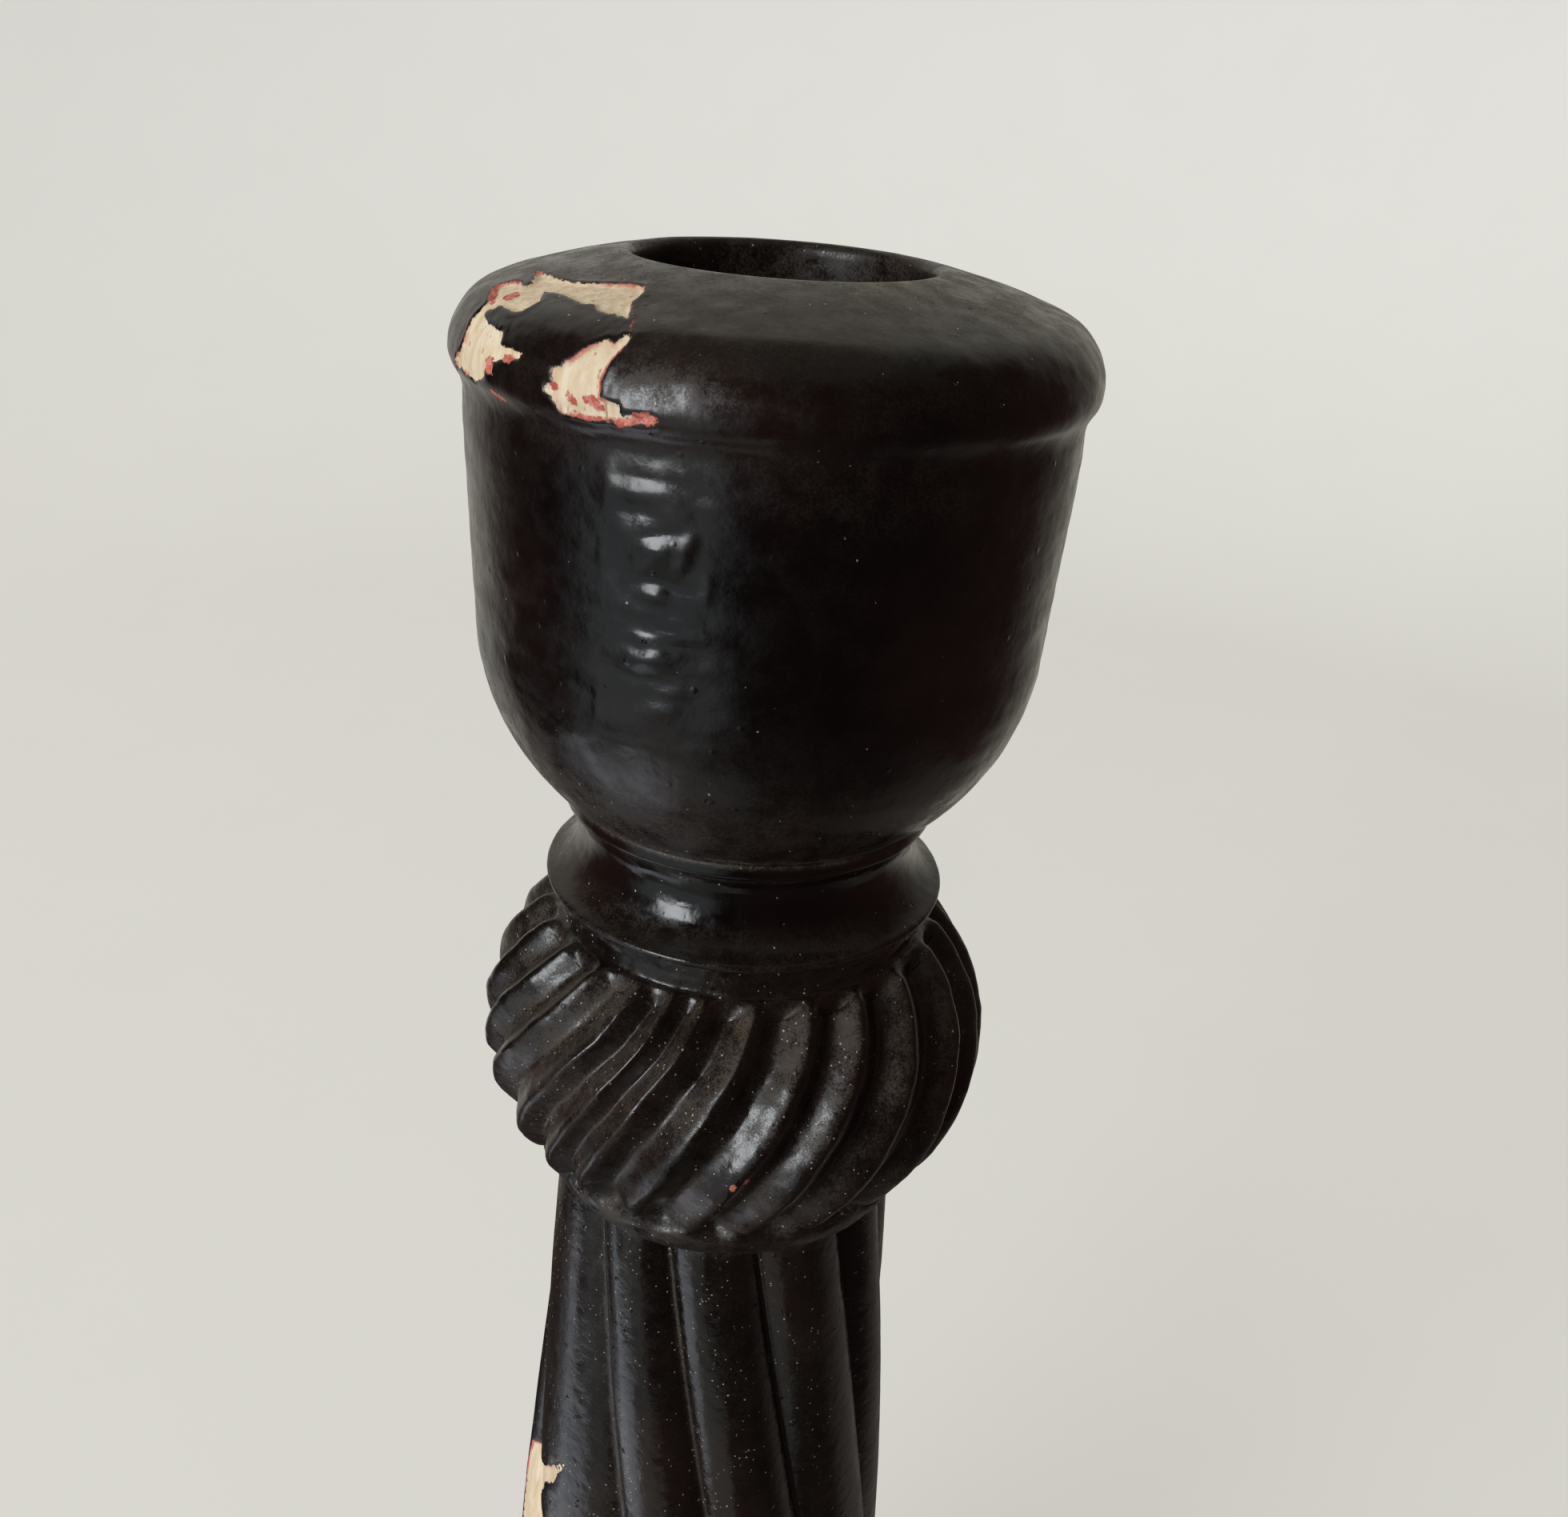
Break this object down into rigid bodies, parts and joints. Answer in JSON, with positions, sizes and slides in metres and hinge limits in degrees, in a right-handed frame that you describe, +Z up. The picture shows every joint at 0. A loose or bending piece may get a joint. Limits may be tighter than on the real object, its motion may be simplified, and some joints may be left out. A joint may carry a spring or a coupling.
{
  "type": "wooden candlestick",
  "caption": "Turned and carved wooden candlestick: bowl-shaped cup with a candle socket, reeded knop, twisted flaring column and round foot.",
  "frame": {"origin": "middle of the underside, on the surface that the foot stands on", "axes": "+Z up along the candlestick's axis, -Y towards the viewer"},
  "size_m": [0.092, 0.092, 0.26],
  "materials": {
    "cup_paint": "wood painted gloss black over a red primer, chipped at the rim",
    "collar_paint": "wood painted gloss black",
    "knop_paint": "carved wood painted gloss black, dusty in the hollows",
    "column_paint": "carved wood painted gloss black, chipped at one side",
    "foot_paint": "wood painted gloss black",
    "dowel_wood": "bare beech",
    "screw_steel": "zinc-plated steel",
    "felt": "dark felt"
  },
  "bodies": {
    "root": {"candle_cup": "cup_paint", "neck_collar": "collar_paint", "gadrooned_knop": "knop_paint", "twisted_column": "column_paint", "turned_foot": "foot_paint", "upper_dowel": "dowel_wood", "lower_dowel": "dowel_wood", "base_screw": "screw_steel", "screw_washer": "screw_steel", "felt_pad": "felt"}
  },
  "joints": []
}
